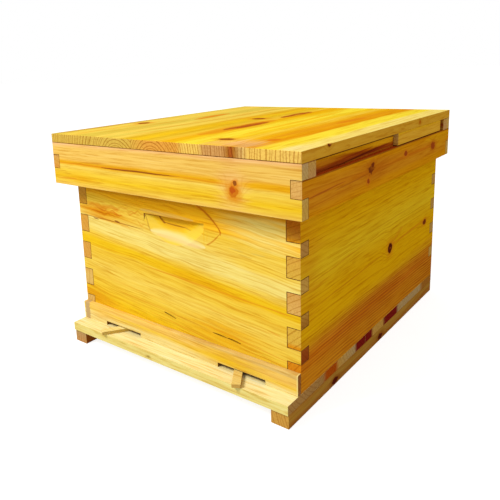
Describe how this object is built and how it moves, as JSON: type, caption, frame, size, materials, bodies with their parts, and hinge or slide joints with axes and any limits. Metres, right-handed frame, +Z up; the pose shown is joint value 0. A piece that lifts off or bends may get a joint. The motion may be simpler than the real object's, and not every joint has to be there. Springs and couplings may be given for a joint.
{
  "type": "box beehive",
  "caption": "Low wooden box beehive with comb-jointed corners, scooped handholds, a lift-off vented cover, turning entrance tongues on a landing board, and hanging frames inside.",
  "frame": {"origin": "on the ground, in the middle of the hive's outline seen from above", "axes": "+Z up, -Y towards the entrance and landing board, +X to the right seen from the front"},
  "size_m": [0.462, 0.5654, 0.354],
  "materials": {
    "box_fir": "planed and dipped in clear wax",
    "floor_fir": "planed and dipped in clear wax",
    "runner_fir": "planed and dipped in clear wax",
    "strip_fir": "planed and dipped in clear wax",
    "tongue_fir": "planed and dipped in clear wax",
    "cover_fir": "planed and dipped in clear wax",
    "panel_fir": "planed and dipped in clear wax",
    "slider_fir": "planed and dipped in clear wax",
    "inner_fir": "planed and dipped in clear wax",
    "frame_fir": "planed and dipped in clear wax",
    "nail_steel": "bright wire nail",
    "mesh_steel": "galvanised woven wire"
  },
  "bodies": {
    "hive_box": {"front_board": "box_fir", "back_board": "box_fir", "left_board": "box_fir", "right_board": "box_fir", "floor_boards": "floor_fir", "left_runner": "runner_fir", "right_runner": "runner_fir", "entrance_strip": "strip_fir", "tongue_nails": "nail_steel"},
    "cover": {"cover_front_rail": "cover_fir", "cover_back_rail": "cover_fir", "cover_left_rail": "cover_fir", "cover_right_rail": "cover_fir", "cover_top": "panel_fir", "cover_battens": "cover_fir", "left_vent_strip": "cover_fir", "right_vent_strip": "cover_fir"},
    "left_vent": {"left_vent_slider": "slider_fir"},
    "right_vent": {"right_vent_slider": "slider_fir"},
    "inner_cover": {"inner_cover_rails": "inner_fir", "inner_cover_mesh": "mesh_steel"},
    "left_gate": {"left_tongue": "tongue_fir"},
    "right_gate": {"right_tongue": "tongue_fir"},
    "frame_01": {"frame_01_top_bar": "frame_fir", "frame_01_end_bars": "frame_fir", "frame_01_bottom_bar": "frame_fir"},
    "frame_02": {"frame_02_top_bar": "frame_fir", "frame_02_end_bars": "frame_fir", "frame_02_bottom_bar": "frame_fir"},
    "frame_03": {"frame_03_top_bar": "frame_fir", "frame_03_end_bars": "frame_fir", "frame_03_bottom_bar": "frame_fir"},
    "frame_04": {"frame_04_top_bar": "frame_fir", "frame_04_end_bars": "frame_fir", "frame_04_bottom_bar": "frame_fir"},
    "frame_05": {"frame_05_top_bar": "frame_fir", "frame_05_end_bars": "frame_fir", "frame_05_bottom_bar": "frame_fir"},
    "frame_06": {"frame_06_top_bar": "frame_fir", "frame_06_end_bars": "frame_fir", "frame_06_bottom_bar": "frame_fir"},
    "frame_07": {"frame_07_top_bar": "frame_fir", "frame_07_end_bars": "frame_fir", "frame_07_bottom_bar": "frame_fir"},
    "frame_08": {"frame_08_top_bar": "frame_fir", "frame_08_end_bars": "frame_fir", "frame_08_bottom_bar": "frame_fir"},
    "frame_09": {"frame_09_top_bar": "frame_fir", "frame_09_end_bars": "frame_fir", "frame_09_bottom_bar": "frame_fir"},
    "frame_10": {"frame_10_top_bar": "frame_fir", "frame_10_end_bars": "frame_fir", "frame_10_bottom_bar": "frame_fir"}
  },
  "joints": [
    {"name": "cover_lift", "type": "slide", "parent": "hive_box", "child": "cover", "axis": [0, 0, 1], "range_m": [0, 0.45]},
    {"name": "inner_cover_lift", "type": "slide", "parent": "hive_box", "child": "inner_cover", "axis": [0, 0, 1], "range_m": [0, 0.34]},
    {"name": "left_vent_slide", "type": "slide", "parent": "cover", "child": "left_vent", "axis": [0, 1, 0], "range_m": [0, 0.213]},
    {"name": "right_vent_slide", "type": "slide", "parent": "cover", "child": "right_vent", "axis": [0, 1, 0], "range_m": [0, 0.213]},
    {"name": "left_gate_turn", "type": "hinge", "parent": "hive_box", "child": "left_gate", "pos_m": [-0.1085, -0.24679, 0.034], "axis": [0, 0, 1], "range_deg": [-55, 70]},
    {"name": "right_gate_turn", "type": "hinge", "parent": "hive_box", "child": "right_gate", "pos_m": [0.1195, -0.24679, 0.034], "axis": [0, 0, 1], "range_deg": [-61, 59.5]},
    {"name": "frame_01_lift", "type": "slide", "parent": "hive_box", "child": "frame_01", "axis": [0, 0, 1], "range_m": [0, 0.25]},
    {"name": "frame_02_lift", "type": "slide", "parent": "hive_box", "child": "frame_02", "axis": [0, 0, 1], "range_m": [0, 0.25]},
    {"name": "frame_03_lift", "type": "slide", "parent": "hive_box", "child": "frame_03", "axis": [0, 0, 1], "range_m": [0, 0.25]},
    {"name": "frame_04_lift", "type": "slide", "parent": "hive_box", "child": "frame_04", "axis": [0, 0, 1], "range_m": [0, 0.25]},
    {"name": "frame_05_lift", "type": "slide", "parent": "hive_box", "child": "frame_05", "axis": [0, 0, 1], "range_m": [0, 0.25]},
    {"name": "frame_06_lift", "type": "slide", "parent": "hive_box", "child": "frame_06", "axis": [0, 0, 1], "range_m": [0, 0.25]},
    {"name": "frame_07_lift", "type": "slide", "parent": "hive_box", "child": "frame_07", "axis": [0, 0, 1], "range_m": [0, 0.25]},
    {"name": "frame_08_lift", "type": "slide", "parent": "hive_box", "child": "frame_08", "axis": [0, 0, 1], "range_m": [0, 0.25]},
    {"name": "frame_09_lift", "type": "slide", "parent": "hive_box", "child": "frame_09", "axis": [0, 0, 1], "range_m": [0, 0.25]},
    {"name": "frame_10_lift", "type": "slide", "parent": "hive_box", "child": "frame_10", "axis": [0, 0, 1], "range_m": [0, 0.25]}
  ],
  "couplings": [
    {"joint": "inner_cover_lift", "follows": "cover_lift", "ratio": 0.75},
    {"joint": "frame_01_lift", "follows": "cover_lift", "ratio": 0.55},
    {"joint": "frame_02_lift", "follows": "cover_lift", "ratio": 0.55},
    {"joint": "frame_03_lift", "follows": "cover_lift", "ratio": 0.55},
    {"joint": "frame_04_lift", "follows": "cover_lift", "ratio": 0.55},
    {"joint": "frame_05_lift", "follows": "cover_lift", "ratio": 0.55},
    {"joint": "frame_06_lift", "follows": "cover_lift", "ratio": 0.55},
    {"joint": "frame_07_lift", "follows": "cover_lift", "ratio": 0.55},
    {"joint": "frame_08_lift", "follows": "cover_lift", "ratio": 0.55},
    {"joint": "frame_09_lift", "follows": "cover_lift", "ratio": 0.55},
    {"joint": "frame_10_lift", "follows": "cover_lift", "ratio": 0.55}
  ]
}
